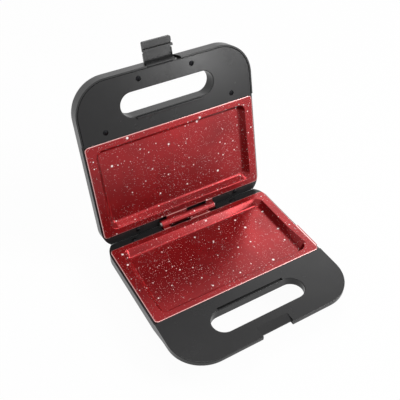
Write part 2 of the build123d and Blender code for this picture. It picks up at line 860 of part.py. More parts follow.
def fuse_clip():
    """Bent clip that holds the fuse's sleeve on the reflector."""
    half = clip_width / 2
    level = reflector_bottom + fuse_radius
    inner = fuse_radius + tube_contact
    arch = rod(fuse_place - half, fuse_place + half, -fuse_reach, level, inner + clip_sheet)
    sides = block(
        fuse_place - half,
        fuse_place + half,
        -fuse_reach - inner - clip_sheet,
        -fuse_reach + inner + clip_sheet,
        reflector_bottom,
        level,
    )
    foot = block(
        fuse_place - half,
        fuse_place + half,
        -fuse_reach - inner - clip_foot,
        -fuse_reach + inner + clip_foot,
        reflector_bottom,
        reflector_bottom + clip_sheet,
    )
    form = (arch + sides) & block(-body_width, body_width, -front_reach, 0, reflector_bottom, bowl_depth)
    bore = rod(fuse_place - clip_width, fuse_place + clip_width, -fuse_reach, level, inner)
    way = block(
        fuse_place - clip_width,
        fuse_place + clip_width,
        -fuse_reach - inner,
        -fuse_reach + inner,
        reflector_bottom - wall,
        level,
    )
    return form + foot - bore - way


def terminal_block():
    """Screw terminal block on the floor of the base, in line with the cord inlet."""
    bottom = bowl_depth - wall
    half = block_width / 2
    y0 = -block_reach - block_length
    form = block(block_place - half, block_place + half, y0, -block_reach, bottom - block_height, bottom)
    pitch = block_width / block_bores
    for number in range(block_bores):
        x = block_place - half + pitch * (number + 1 / 2)
        bore = Pos(x, -block_reach, -bottom + block_height / 2) * Rot(90, 0, 0)
        form = form - bore * Cylinder(block_height * block_bore_share, block_length * 4)
    return form


def cord_bushing():
    """Flanged rubber bushing in the cord inlet at the back of the base."""
    turn = Rot(-90, 0, 0)
    face = Pos(inlet_place, inlet_reach, -inlet_depth) * turn
    flange = face * Pos(0, 0, bushing_flange_thickness / 2) * Cylinder(bushing_flange, bushing_flange_thickness)
    flange = fillet(flange.edges().filter_by(GeomType.CIRCLE).group_by(Axis.Y)[-1], bushing_flange_thickness / 2)
    neck = face * Pos(0, 0, -bushing_length / 2) * Cylinder(bushing_radius, bushing_length)
    bore = face * Cylinder(bushing_bore, bushing_length * 4)
    return flange + neck - bore


def rubber_feet():
    """Four feet, each a tapered pad with a stem pressed into the base."""
    pieces = []
    for x, y in foot_places():
        pad = Pos(x, y, -bowl_depth - foot_height / 2) * Rot(180, 0, 0)
        pad = pad * Cone(foot_top_radius, foot_radius, foot_height)
        stem = post(x, y, foot_stem, bowl_depth - foot_stem_length, bowl_depth)
        pieces.append(pad + stem)
    return group(pieces)


def latch():
    """Flap on the lid's front edge: barrel, ribbed body, hook ridge and finger cap."""
    half = latch_width / 2
    inner = latch_pivot_depth + latch_barrel
    outer = inner + latch_thickness
    back = hook_back()
    cap_back = back - latch_hook_width - latch_groove
    tip = cap_back - latch_cap_length
    form = block(-half, half, tip, -recess_back - latch_heel_gap, inner, outer)
    form = form + block(-half, half, tip, cap_back, inner - latch_cap_rise, inner)
    form = fillet(form.edges().filter_by(Axis.Z).group_by(Axis.Y)[0], latch_corner)
    form = form + block(-half, half, -latch_pivot - latch_barrel, -latch_pivot + latch_barrel, latch_pivot_depth, inner)
    form = form + rod(-half, half, -latch_pivot, latch_pivot_depth, latch_barrel)
    for x in (-half, half):
        form = form - block(x - latch_nick, x + latch_nick, back, back + latch_nick_length, -cut, cut)
    end = half + latch_hook_end
    form = form + block(-end, end, back - latch_hook_width, back, inner - latch_hook_height, inner + latch_hook_end)
    for x in (-half, half - latch_rib_width):
        form = form + block(x, x + latch_rib_width, back + latch_nick_length, -latch_pivot, inner - latch_rib, inner)
    middle = latch_rib_width / 2
    end = -latch_pivot - latch_barrel
    form = form + block(-middle, middle, end - latch_rib_length, end, inner - latch_rib, inner)
    return form - rod(-latch_width, latch_width, -latch_pivot, latch_pivot_depth, latch_pin_radius + latch_pin_play)


def hook_back():
    """Edge of the hook ridge that comes to lie just under the lip of the catch."""
    return -latch_pivot - latch_pivot_depth - catch_depth - catch_gap


def latch_pin():
    """Steel pin of the latch, seated in both cheeks of the recess."""
    half = recess_width / 2 + wall
    return rod(-half, half, -latch_pivot, latch_pivot_depth, latch_pin_radius)


def lens(x):
    """Clear cap of a signal lamp, flanged on the outside of the lid."""
    y = lens_setback - bowl_front
    flange = post(x, y, lens_flange, bowl_depth, bowl_depth + lens_flange_thickness)
    flange = fillet(flange.edges().group_by(Axis.Z)[0], lens_flange_thickness / 2)
    neck = post(x, y, lens_radius, bowl_depth - lamp_length / 2, bowl_depth)
    return flange + neck - post(x, y, lens_radius - lens_wall, bowl_depth - lamp_length, bowl_depth)


def indicator_lamps():
    """Two neon lamps, their heads in the lenses."""
    pieces = [post(x, y, lamp_radius, bowl_depth - lamp_length, bowl_depth) for x, y in lens_places()]
    return group([fillet(piece.edges().group_by(Axis.Z)[0], lamp_radius / 2) for piece in pieces])


def base_pieces():
    """All pieces of the standing half, by name."""
    return {
        "base_shell": base_shell(),
        "base_frame": base_frame(),
        "lower_plate": lower_plate(),
        "lower_plate_screws": rim_screws(),
        "lower_heater": heater(),
        "lower_reflector": reflector(),
        "lower_reflector_screws": reflector_screws(strap_sheet),
        "base_rear_screws": group(rear_screws(1)),
        "base_handle_screws": base_handle_screws(),
        "rubber_feet": rubber_feet(),
        "thermostat": thermostat(),
        "thermostat_strap": thermostat_strap(),
        "thermal_fuse": thermal_fuse(),
        "fuse_clip": fuse_clip(),
        "terminal_block": terminal_block(),
        "cord_bushing": cord_bushing(),
        "hinge_pin": hinge_pin(),
        "hinge_pin_clip": hinge_pin_clip(),
    }


def lid_pieces():
    """All pieces that swing with the lid, by name."""
    return {
        "lid_shell": lid_shell(),
        "lid_frame": lid_frame(),
        "upper_plate": plate(-1),
        "upper_plate_screws": rim_screws(),
        "upper_heater": heater(),
        "upper_reflector": reflector(),
        "upper_reflector_screws": reflector_screws(0),
        "lid_frame_screws": lid_frame_screws(),
        "power_lens": lens(-lens_spread),
        "ready_lens": lens(lens_spread),
        "indicator_lamps": indicator_lamps(),
        "latch": latch(),
        "latch_pin": latch_pin(),
    }


def swing_open(piece):
    """Turns a piece of the lid from half coordinates into the open lid."""
    return piece.mirror(Plane.XY).rotate(Axis.X, -open_angle)


def main():
    """Builds every piece, stands the part on its feet and writes one file per piece."""
    os.makedirs("parts", exist_ok=True)
    pieces = base_pieces()
    pieces.update({name: swing_open(piece) for name, piece in lid_pieces().items()})
    box = Compound(children=[Compound(piece.solids()) for piece in pieces.values()]).bounding_box()
    shift = Vector(-(box.min.X + box.max.X) / 2, -(box.min.Y + box.max.Y) / 2, -box.min.Z)
    for name, piece in pieces.items():
        solids = [solid.moved(Location(shift)) for solid in piece.solids()]
        whole = solids[0] if len(solids) == 1 else Compound(children=solids)
        export_step(whole, f"parts/{name}.step")
    swing = radians(open_angle)
    reach = latch_pivot
    depth = latch_pivot_depth
    print("hinge axis", shift.X, shift.Y, shift.Z)
    print("latch axis", shift.Y + depth * sin(swing) - reach * cos(swing), shift.Z + reach * sin(swing) + depth * cos(swing))
    print("size", box.size.X, box.size.Y, box.size.Z)


main()
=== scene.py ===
import json
import logging
from dataclasses import dataclass, field
from enum import Enum
from math import cos, pi, radians, sin
from typing import ClassVar

import bmesh
import bpy
from mathutils import Matrix, Vector


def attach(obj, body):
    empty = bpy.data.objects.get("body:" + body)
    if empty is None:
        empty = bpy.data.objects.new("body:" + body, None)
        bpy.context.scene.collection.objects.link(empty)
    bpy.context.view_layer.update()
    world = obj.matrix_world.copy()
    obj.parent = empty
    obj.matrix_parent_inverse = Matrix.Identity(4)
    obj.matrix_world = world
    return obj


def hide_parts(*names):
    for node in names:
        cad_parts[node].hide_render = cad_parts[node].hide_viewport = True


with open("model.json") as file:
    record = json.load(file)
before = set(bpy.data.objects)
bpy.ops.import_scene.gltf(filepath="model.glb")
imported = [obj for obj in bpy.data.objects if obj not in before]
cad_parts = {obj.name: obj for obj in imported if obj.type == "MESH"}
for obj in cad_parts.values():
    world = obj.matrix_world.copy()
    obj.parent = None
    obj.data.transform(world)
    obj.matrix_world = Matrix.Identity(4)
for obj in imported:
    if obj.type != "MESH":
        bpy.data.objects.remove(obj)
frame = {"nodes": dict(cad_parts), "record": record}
log = logging.getLogger("sandwich_maker")

Colour = tuple[float, float, float, float]
Point = tuple[float, float, float]
Socket = bpy.types.NodeSocket

ORIGIN: Point = (0.0, 0.0, 0.0)
WHITE: Colour = (1.0, 1.0, 1.0, 1.0)
SOCKET_KINDS = {1: "NodeSocketFloat", 3: "NodeSocketVector", 4: "NodeSocketColor"}

# Socket numbers of a Mix node that mixes colours
MIX_FACTOR = 0
MIX_UNDER = 6
MIX_OVER = 7
MIX_RESULT = 2

# Edges sharper than this stay sharp, in degrees
SMOOTH_ANGLE = 40.0
SCREW_SMOOTH_ANGLE = 30.0

# How far the speckles' pattern slides per metre of height, so that steep tray walls don't draw it out
WALL_SLIDE = 0.9


class Half(Enum):
    """The two halves of the appliance, by the names of their bodies."""

    BASE = "base"
    LID = "lid"


class Tree:
    """A node tree with short calls for adding and linking its nodes."""

    def __init__(self, tree: bpy.types.NodeTree) -> None:
        """Keeps the tree's nodes and links at hand.

        Args:
            tree: The node tree of a material, a world or a group.
        """
        self.nodes = tree.nodes
        self.links = tree.links

    def feed(self, socket: Socket, value: object) -> None:
        """Gives a socket a plain value or a link.

        Args:
            socket: The input socket.
            value: A number, a vector, a colour or another node's output socket.
        """
        if isinstance(value, bpy.types.NodeSocket):
            self.links.new(value, socket)
        else:
            socket.default_value = value

    def add(self, kind: str, inputs: dict[str | int, object] | None = None, **settings: object) -> bpy.types.Node:
        """Adds one node.

        Args:
            kind: The node's class name.
            inputs: Socket names or numbers, and what each one gets.
            settings: Properties of the node itself.

        Returns:
            The new node.
        """
        node = self.nodes.new(kind)
        for name, value in settings.items():
            setattr(node, name, value)
        for key, value in (inputs or {}).items():
            self.feed(node.inputs[key], value)
        return node

    def math(self, operation: str, first: object, second: object, clamp: bool = False) -> Socket:
        """Adds a Math node.

        Args:
            operation: The sum's name, such as MULTIPLY.
            first: Number or socket on the left.
            second: Number or socket on the right.
            clamp: Whether the result is kept between 0 and 1.

        Returns:
            The result's socket.
        """
        node = self.add("ShaderNodeMath", {0: first, 1: second}, operation=operation, use_clamp=clamp)
        return node.outputs[0]

    def vector(self, operation: str, first: object, second: object = ORIGIN) -> Socket:
        """Adds a Vector Math node that gives a vector.

        Args:
            operation: The sum's name, such as SUBTRACT.
            first: Vector or socket on the left.
            second: Vector or socket on the right, where the sum takes one.

        Returns:
            The resulting vector's socket.
        """
        node = self.add("ShaderNodeVectorMath", {0: first, 1: second}, operation=operation)
        return node.outputs[0]

    def spread(self, value: object, low: float, high: float) -> Socket:
        """Maps a mask from 0 and 1 to a range.

        Args:
            value: The mask's socket.
            low: Result where the mask is 0.
            high: Result where the mask is 1.

        Returns:
            The result's socket.
        """
        node = self.add("ShaderNodeMapRange", {0: value, 1: 0.0, 2: 1.0, 3: low, 4: high})
        return node.outputs[0]

    def window(self, value: object, start: float, end: float, low: float = 0.0, high: float = 1.0) -> Socket:
        """Maps the part of a texture's value that counts to a range.

        Args:
            value: The texture's socket.
            start: Lowest value that counts.
            end: Highest value that counts.
            low: Result at start and below.
            high: Result at end and above.

        Returns:
            The result's socket.
        """
        node = self.add("ShaderNodeMapRange", {0: value, 1: start, 2: end, 3: low, 4: high})
        return node.outputs[0]

    def blend(self, mask: object, under: object, over: object) -> Socket:
        """Mixes two colours.

        Args:
            mask: How much of the upper colour shows.
            under: The lower colour.
            over: The upper colour.

        Returns:
            The mixed colour's socket.
        """
        inputs = {MIX_FACTOR: mask, MIX_UNDER: under, MIX_OVER: over}
        return self.add("ShaderNodeMix", inputs, data_type="RGBA").outputs[MIX_RESULT]

    def noise(self, vector: object, scale: object, detail: float, rough: float = 0.55) -> Socket:
        """Adds a noise texture.

        Args:
            vector: Where it is read.
            scale: Its scale, per metre.
            detail: Number of octaves.
            rough: Weight of the finer octaves.

        Returns:
            The noise value's socket.
        """
        inputs = {"Vector": vector, "Scale": scale, "Detail": detail, "Roughness": rough}
        return self.add("ShaderNodeTexNoise", inputs).outputs[0]


def fresh_tree(owner: bpy.types.Material | bpy.types.World) -> Tree:
    """Empties the node tree of a material or a world.

    Args:
        owner: The material or world.

    Returns:
        Its empty tree.
    """
    owner.use_nodes = True
    owner.node_tree.nodes.clear()
    return Tree(owner.node_tree)


@dataclass(frozen=True)
class Effect:
    """A node group that several finishes share: its name, its sockets and how it is wired."""

    name: ClassVar[str]
    inputs: ClassVar[dict[str, object]]
    outputs: ClassVar[tuple[str, ...]]
    output_kind: ClassVar[str] = "NodeSocketFloat"

    def wire(self, tree: Tree, given: bpy.types.NodeOutputs) -> dict[str, Socket]:
        """Adds the group's nodes.

        Args:
            tree: The group's tree.
            given: The group's inputs by name.

        Returns:
            The group's outputs by name.
        """
        raise NotImplementedError


@dataclass(frozen=True)
class MouldGrain(Effect):
    """Fine erosion texture of a mould, and a slow mask of the places that are rubbed."""

    name = "mould_grain"
    inputs = {"Vector": ORIGIN, "Scale": 1500.0}
    outputs = ("Height", "Worn")
    fine_share: float = 0.6
    pit_share: float = 0.4
    worn_scale: float = 0.014
    worn_start: float = 0.35
    worn_end: float = 0.7

    def wire(self, tree: Tree, given: bpy.types.NodeOutputs) -> dict[str, Socket]:
        """Adds the group's nodes.

        Args:
            tree: The group's tree.
            given: Vector and Scale.

        Returns:
            Height and Worn.
        """
        vector = given["Vector"]
        scale = given["Scale"]
        fine = tree.noise(vector, scale, detail=2.0, rough=0.6)
        pits = tree.add("ShaderNodeTexVoronoi", {"Vector": vector, "Scale": scale}, feature="SMOOTH_F1")
        fine_part = tree.math("MULTIPLY", fine, self.fine_share)
        pit_part = tree.math("MULTIPLY", pits.outputs["Distance"], self.pit_share)
        wide = tree.noise(vector, tree.math("MULTIPLY", scale, self.worn_scale), detail=4.0, rough=0.65)
        return {
            "Height": tree.math("ADD", fine_part, pit_part),
            "Worn": tree.window(wide, self.worn_start, self.worn_end),
        }


@dataclass(frozen=True)
class ColourDrift(Effect):
    """Slow drift between two colours."""

    name = "colour_drift"
    inputs = {"Vector": ORIGIN, "Scale": 12.0, "First": (0.5, 0.5, 0.5, 1.0), "Second": (0.4, 0.4, 0.4, 1.0)}
    outputs = ("Color",)
    output_kind = "NodeSocketColor"
    start: float = 0.3
    end: float = 0.7

    def wire(self, tree: Tree, given: bpy.types.NodeOutputs) -> dict[str, Socket]:
        """Adds the group's nodes.

        Args:
            tree: The group's tree.
            given: Vector, Scale, First and Second.

        Returns:
            Color.
        """
        cloud = tree.noise(given["Vector"], given["Scale"], detail=5.0, rough=0.6)
        mask = tree.window(cloud, self.start, self.end)
        return {"Color": tree.blend(mask, given["First"], given["Second"])}


@dataclass(frozen=True)
class PaintSpeckles(Effect):
    """One size of round paint speckle, scattered unevenly over a plane."""

    name = "paint_speckles"
    inputs = {"Vector": ORIGIN, "Cells": 100.0, "Radius": 0.07, "Crowding": 0.5}
    outputs = ("Mask",)
    smallest: float = 0.45
    growth: float = 0.55
    size_power: float = 2.0
    crowd_scale: float = 16.0
    crowd_start: float = 0.38
    crowd_end: float = 0.6
    sparse: float = 0.3
    edge_slope: float = 4.0

    def wire(self, tree: Tree, given: bpy.types.NodeOutputs) -> dict[str, Socket]:
        """Adds the group's nodes.

        Args:
            tree: The group's tree.
            given: Vector, Cells per metre, Radius as a share of a cell, and Crowding, the share of cells filled.

        Returns:
            Mask.
        """
        scaled = {0: given["Vector"], "Scale": given["Cells"]}
        placed = tree.add("ShaderNodeVectorMath", scaled, operation="SCALE").outputs[0]
        spots = tree.add("ShaderNodeTexVoronoi", {"Vector": placed, "Scale": 1.0}, voronoi_dimensions="2D").outputs
        dice = tree.add("ShaderNodeSeparateColor", {0: spots["Color"]}).outputs
        size = tree.math("POWER", dice[0], self.size_power)
        crowd = tree.noise(given["Vector"], self.crowd_scale, detail=2.0)
        share = tree.window(crowd, self.crowd_start, self.crowd_end, self.sparse, 1.0)
        picked = tree.math("LESS_THAN", dice[1], tree.math("MULTIPLY", share, given["Crowding"]))
        grown = tree.math("ADD", tree.math("MULTIPLY", size, self.growth), self.smallest)
        nearness = tree.math("DIVIDE", spots["Distance"], tree.math("MULTIPLY", grown, given["Radius"]))
        edge = tree.math("MULTIPLY", tree.math("SUBTRACT", 1.0, nearness), self.edge_slope, clamp=True)
        return {"Mask": tree.math("MULTIPLY", edge, picked)}


@dataclass(frozen=True)
class PaintedEdgeHighlight(Effect):
    """Thin line along the upper outline of a rounded panel: a painted highlight where its rounded edge would catch
    the light.
    """

    name = "painted_edge_highlight"
    inputs = {
        "Vector": ORIGIN, "Middle": ORIGIN, "Reach": (0.1, 0.05, 0.0),
        "Corner": 0.0045, "Width": 0.001, "Drop": 0.001,
    }
    outputs = ("Mask",)
    drop_fade: float = 0.0006
    farthest_out: float = -0.0006
    in_plane: Point = (1.0, 1.0, 0.0)

    def wire(self, tree: Tree, given: bpy.types.NodeOutputs) -> dict[str, Socket]:
        """Adds the group's nodes.

        Args:
            tree: The group's tree.
            given: Vector, the panel's Middle, its Reach without its corners, Corner, the line's Width and its Drop.

        Returns:
            Mask.
        """
        folded = tree.vector("ABSOLUTE", tree.vector("SUBTRACT", given["Vector"], given["Middle"]))
        past = tree.vector("MAXIMUM", tree.vector("SUBTRACT", folded, given["Reach"]))
        level = tree.vector("MULTIPLY", past, self.in_plane)
        far = tree.add("ShaderNodeVectorMath", {0: level}, operation="LENGTH").outputs["Value"]
        inset = tree.math("SUBTRACT", given["Corner"], far)
        line = tree.math("SUBTRACT", 1.0, tree.math("DIVIDE", inset, given["Width"]), clamp=True)
        depth = tree.add("ShaderNodeSeparateXYZ", {0: folded}).outputs[2]
        lower = tree.math("DIVIDE", tree.math("SUBTRACT", depth, given["Drop"]), self.drop_fade)
        top = tree.math("SUBTRACT", 1.0, lower, clamp=True)
        within = tree.math("GREATER_THAN", inset, self.farthest_out)
        return {"Mask": tree.math("MULTIPLY", tree.math("MULTIPLY", line, top), within)}


@dataclass
class EffectShelf:
    """Builds each shared node group once, and places it where a finish needs it."""

    built: dict[str, bpy.types.NodeTree] = field(default_factory=dict)

    def group(self, effect: Effect) -> bpy.types.NodeTree:
        """The group of an effect, built at its first use.

        Args:
            effect: The effect.

        Returns:
            Its node group.
        """
        if effect.name not in self.built:
            group = bpy.data.node_groups.new(effect.name, "ShaderNodeTree")
            for label, value in effect.inputs.items():
                kind = SOCKET_KINDS[len(value) if isinstance(value, tuple) else 1]
                socket = group.interface.new_socket(name=label, in_out="INPUT", socket_type=kind)
                socket.default_value = value
            for label in effect.outputs:
                group.interface.new_socket(name=label, in_out="OUTPUT", socket_type=effect.output_kind)
            tree = Tree(group)
            given = tree.add("NodeGroupInput").outputs
            tree.add("NodeGroupOutput", effect.wire(tree, given))
            self.built[effect.name] = group
        return self.built[effect.name]

    def place(self, tree: Tree, effect: Effect, **inputs: object) -> bpy.types.NodeOutputs:
        """Places an effect in a material.

        Args:
            tree: The material's tree.
            effect: The effect.
            inputs: Its input values or links by name.

        Returns:
            Its outputs by name.
        """
        return tree.add("ShaderNodeGroup", inputs, node_tree=self.group(effect)).outputs


@dataclass(frozen=True)
class Draft:
    """A material that is being made: its tree, its surface shader and the place on the object."""

    tree: Tree
    shader: bpy.types.Node
    place: Socket
    shelf: EffectShelf

    def feed(self, inputs: dict[str, object]) -> None:
        """Gives the surface shader its inputs.

        Args:
            inputs: Socket names, and what each one gets.
        """
        for name, value in inputs.items():
            self.tree.feed(self.shader.inputs[name], value)

    def drift(self, scale: float, first: Colour, second: Colour) -> Socket:
        """A colour that drifts slowly over the object.

        Args:
            scale: How fast it drifts, per metre.
            first: One colour.
            second: The other colour.

        Returns:
            The colour's socket.
        """
        outputs = self.shelf.place(
            self.tree, ColourDrift(), Vector=self.place, Scale=scale, First=first, Second=second
        )
        return outputs["Color"]

    def grain(self, scale: float) -> bpy.types.NodeOutputs:
        """A mould's grain.

        Args:
            scale: How fine it is, per metre.

        Returns:
            Its Height and Worn.
        """
        return self.shelf.place(self.tree, MouldGrain(), Vector=self.place, Scale=scale)

    def bump(self, height: Socket, depth: float) -> None:
        """Puts a relief on the surface.

        Args:
            height: The relief's height, from 0 to 1.
            depth: Its depth in metres.
        """
        inputs = {"Strength": 1.0, "Distance": depth, "Height": height}
        self.feed({"Normal": self.tree.add("ShaderNodeBump", inputs).outputs[0]})


@dataclass(frozen=True)
class Finish:
    """What every finish has: its own name, and the record's slot that it stands for."""

    name: str
    slot: str

    def make(self, shelf: EffectShelf) -> bpy.types.Material:
        """Builds the finish's material.

        Args:
            shelf: The shared effects.

        Returns:
            The material.
        """
        material = bpy.data.materials.new(self.name)
        tree = fresh_tree(material)
        shader = tree.add("ShaderNodeBsdfPrincipled")
        tree.add("ShaderNodeOutputMaterial", {"Surface": shader.outputs[0]})
        place = tree.add("ShaderNodeTexCoord").outputs["Object"]
        self.paint(Draft(tree, shader, place, shelf))
        return material

    def paint(self, draft: Draft) -> None:
        """Wires the surface.

        Args:
            draft: The material to fill.
        """
        raise NotImplementedError


@dataclass(frozen=True)
class MouldedPlastic(Finish):
    """Satin moulded plastic: a grain from the mould, and rubbed places where it shines more."""

    colour: Colour
    second: Colour
    grain_scale: float
    grain_depth: float
    rough_low: float
    rough_high: float
    specular: float = 0.5
    drift_scale: float = 16.0

    def paint(self, draft: Draft) -> None:
        """Wires the surface.

        Args:
            draft: The material to fill.
        """
        grain = draft.grain(self.grain_scale)
        draft.feed({
            "Base Color": draft.drift(self.drift_scale, self.colour, self.second),
            "Roughness": draft.tree.spread(grain["Worn"], self.rough_low, self.rough_high),
            "Specular IOR Level": self.specular,
        })
        draft.bump(grain["Height"], self.grain_depth)


@dataclass(frozen=True)
class SpeckleLayer:
    """One size of speckle: cells per metre, radius as a share of a cell, and the share of cells filled."""

    cells: float
    radius: float
    crowding: float


@dataclass(frozen=True)
class SpeckledCoating(Finish):
    """Glossy red non-stick coating with white speckles of several sizes and a pale painted highlight along its
    outer edge.

    The plate's outline (half_width, near, far, corner) is measured from the hinge, in metres. lean turns the
    plate level with the base's, and slide moves the speckles' pattern along the plate as the surface drops.
    """

    colour: Colour
    deep: Colour
    speckle: Colour
    # Colour of the painted highlight along the outer edge
    edge: Colour
    hinge: Point
    lean: float
    slide: float
    half_width: float = 0.109
    near: float = 0.009
    far: float = 0.1288
    corner: float = 0.0045
    edge_width: float = 0.0012
    edge_drop: float = 0.0009
    rough_low: float = 0.24
    rough_high: float = 0.34
    metal: float = 0.8
    coat: float = 0.32
    coat_rough: float = 0.22
    drift_scale: float = 11.0
    grain_scale: float = 900.0
    grain_share: float = 0.25
    speckle_share: float = 0.5
    relief_depth: float = 0.00003
    layers: tuple[SpeckleLayer, ...] = (
        SpeckleLayer(52.0, 0.092, 0.46),
        SpeckleLayer(98.0, 0.085, 0.4),
        SpeckleLayer(220.0, 0.1, 0.36),
        SpeckleLayer(540.0, 0.13, 0.42),
    )

    def speckle_mask(self, draft: Draft, level: Socket) -> Socket:
        """Where the white speckles are.

        Args:
            draft: The material to fill.
            level: The place on the plate, turned level.

        Returns:
            The mask's socket.
        """
        tree = draft.tree
        parts = tree.add("ShaderNodeSeparateXYZ", {0: level}).outputs
        slid = tree.math("ADD", parts[1], tree.math("MULTIPLY", parts[2], self.slide))
        flat = tree.add("ShaderNodeCombineXYZ", {0: parts[0], 1: slid}).outputs[0]
        mask: object = 0.0
        for layer in self.layers:
            outputs = draft.shelf.place(
                tree, PaintSpeckles(), Vector=flat, Cells=layer.cells, Radius=layer.radius, Crowding=layer.crowding
            )
            mask = tree.math("MAXIMUM", mask, outputs["Mask"])
        return mask

    def painted_highlight_mask(self, draft: Draft, level: Socket) -> Socket:
        """Where the pale painted highlight runs along the plate's outer edge.

        Args:
            draft: The material to fill.
            level: The place on the plate, turned level.

        Returns:
            The mask's socket.
        """
        middle: Point = (0.0, self.hinge[1] - (self.near + self.far) / 2, self.hinge[2])
        reach: Point = (self.half_width - self.corner, (self.far - self.near) / 2 - self.corner, 0.0)
        sizes = {"Corner": self.corner, "Width": self.edge_width, "Drop": self.edge_drop}
        outputs = draft.shelf.place(draft.tree, PaintedEdgeHighlight(), Vector=level, Middle=middle, Reach=reach, **sizes)
        return outputs["Mask"]

    def paint(self, draft: Draft) -> None:
        """Wires the surface.

        Args:
            draft: The material to fill.
        """
        tree = draft.tree
        turn = {"Vector": draft.place, "Center": self.hinge, "Angle": self.lean}
        level = tree.add("ShaderNodeVectorRotate", turn, rotation_type="X_AXIS").outputs[0]
        ground = draft.drift(self.drift_scale, self.colour, self.deep)
        # Painted highlight: a pale line along the outer rim, where the rounded edge would catch the light
        highlighted_ground = tree.blend(self.painted_highlight_mask(draft, level), ground, self.edge)
        mask = self.speckle_mask(draft, level)
        grain = draft.grain(self.grain_scale)
        grain_part = tree.math("MULTIPLY", grain["Height"], self.grain_share)
        speckle_part = tree.math("MULTIPLY", mask, self.speckle_share)
        draft.feed({
            "Base Color": tree.blend(mask, highlighted_ground, self.speckle),
            "Roughness": tree.spread(grain["Worn"], self.rough_low, self.rough_high),
            "Metallic": tree.spread(mask, self.metal, 0.0),
            "Coat Weight": self.coat,
            "Coat Roughness": self.coat_rough,
        })
        draft.bump(tree.math("ADD", grain_part, speckle_part), self.relief_depth)


@dataclass(frozen=True)
class SheetMetal(Finish):
    """Bare or plated metal with fine brushed streaks along one direction."""

    colour: Colour
    dull: Colour
    streaks: Point = (40.0, 900.0, 900.0)
    rough_low: float = 0.25
    rough_high: float = 0.45
    drift_scale: float = 45.0
    streak_start: float = 0.3
    streak_end: float = 0.7
    streak_depth: float = 0.000008

    def paint(self, draft: Draft) -> None:
        """Wires the surface.

        Args:
            draft: The material to fill.
        """
        tree = draft.tree
        streak = tree.noise(tree.vector("MULTIPLY", draft.place, self.streaks), 1.0, detail=4.0, rough=0.6)
        draft.feed({
            "Base Color": draft.drift(self.drift_scale, self.colour, self.dull),
            "Roughness": tree.window(streak, self.streak_start, self.streak_end, self.rough_low, self.rough_high),
            "Metallic": 1.0,
        })
        draft.bump(streak, self.streak_depth)


@dataclass(frozen=True)
class WovenSleeve(Finish):
    """Woven glass-fibre sleeve of the fuse."""

    colour: Colour
    shade: Colour
    slant_scale: float = 260.0
    cross_scale: float = 300.0
    waver: float = 1.5
    grain_scale: float = 1200.0
    rough_low: float = 0.7
    rough_high: float = 0.9
    weave_depth: float = 0.00012

    def thread(self, draft: Draft, scale: float, way: str) -> Socket:
        """One direction of threads.

        Args:
            draft: The material to fill.
            scale: How fine the threads are, per metre.
            way: The direction of their bands, such as X.

        Returns:
            The threads' socket.
        """
        inputs = {"Vector": draft.place, "Scale": scale, "Distortion": self.waver}
        return draft.tree.add("ShaderNodeTexWave", inputs, bands_direction=way).outputs["Fac"]

    def paint(self, draft: Draft) -> None:
        """Wires the surface.

        Args:
            draft: The material to fill.
        """
        tree = draft.tree
        slanted = self.thread(draft, self.slant_scale, "DIAGONAL")
        crossing = self.thread(draft, self.cross_scale, "X")
        weave = tree.math("MULTIPLY", slanted, crossing)
        grain = draft.grain(self.grain_scale)
        draft.feed({
            "Base Color": tree.blend(weave, self.shade, self.colour),
            "Roughness": tree.spread(grain["Worn"], self.rough_low, self.rough_high),
        })
        draft.bump(weave, self.weave_depth)


@dataclass(frozen=True)
class TintedLens(Finish):
    """Clear tinted plastic or glass with faint moulding ripples."""

    colour: Colour
    clarity: float = 0.85
    deep_share: float = 0.8
    drift_scale: float = 180.0
    grain_scale: float = 700.0
    grain_depth: float = 0.00001
    rough_low: float = 0.05
    rough_high: float = 0.14
    refraction: float = 1.49

    def paint(self, draft: Draft) -> None:
        """Wires the surface.

        Args:
            draft: The material to fill.
        """
        red, green, blue, solid = self.colour
        deep: Colour = (red * self.deep_share, green * self.deep_share, blue * self.deep_share, solid)
        grain = draft.grain(self.grain_scale)
        draft.feed({
            "Base Color": draft.drift(self.drift_scale, self.colour, deep),
            "Roughness": draft.tree.spread(grain["Worn"], self.rough_low, self.rough_high),
            "Transmission Weight": self.clarity,
            "IOR": self.refraction,
        })
        draft.bump(grain["Height"], self.grain_depth)


RED: Colour = (0.34, 0.008, 0.011, 1)
DEEP_RED: Colour = (0.18, 0.006, 0.008, 1)
SPECKLE_WHITE: Colour = (0.95, 0.9, 0.88, 1)
# Pale pink of the painted highlight along the plates' rounded outer edges
PAINTED_EDGE_HIGHLIGHT: Colour = (0.85, 0.5, 0.48, 1)

BLACK_SHELL = MouldedPlastic(
    "satin_black_housing",
    "black_plastic",
    colour=(0.02, 0.02, 0.0205, 1),
    second=(0.015, 0.015, 0.0155, 1),
    grain_scale=1500.0,
    grain_depth=0.00002,
    rough_low=0.26,
    rough_high=0.34,
    specular=0.3,
)
BLACK_COVER = MouldedPlastic(
    "smooth_black_cover",
    "black_plastic",
    colour=(0.014, 0.014, 0.0145, 1),
    second=(0.011, 0.011, 0.0115, 1),
    grain_scale=2200.0,
    grain_depth=0.000012,
    rough_low=0.23,
    rough_high=0.29,
    specular=0.32,
)
RUBBER = MouldedPlastic(
    "matt_rubber",
    "rubber",
    colour=(0.022, 0.022, 0.022, 1),
    second=(0.03, 0.03, 0.03, 1),
    grain_scale=900.0,
    grain_depth=0.00006,
    rough_low=0.7,
    rough_high=0.88,
    specular=0.35,
)
CERAMIC = MouldedPlastic(
    "unglazed_ceramic",
    "ceramic",
    colour=(0.78, 0.74, 0.66, 1),
    second=(0.7, 0.66, 0.58, 1),
    grain_scale=1100.0,
    grain_depth=0.00005,
    rough_low=0.55,
    rough_high=0.75,
    specular=0.45,
)
WHITE_PLASTIC = MouldedPlastic(
    "white_terminal_plastic",
    "white_plastic",
    colour=(0.82, 0.82, 0.79, 1),
    second=(0.74, 0.74, 0.7, 1),
    grain_scale=1300.0,
    grain_depth=0.00002,
    rough_low=0.4,
    rough_high=0.55,
)
ZINC = SheetMetal("zinc_plated_steel", "steel", colour=(0.62, 0.62, 0.6, 1), dull=(0.5, 0.5, 0.49, 1))
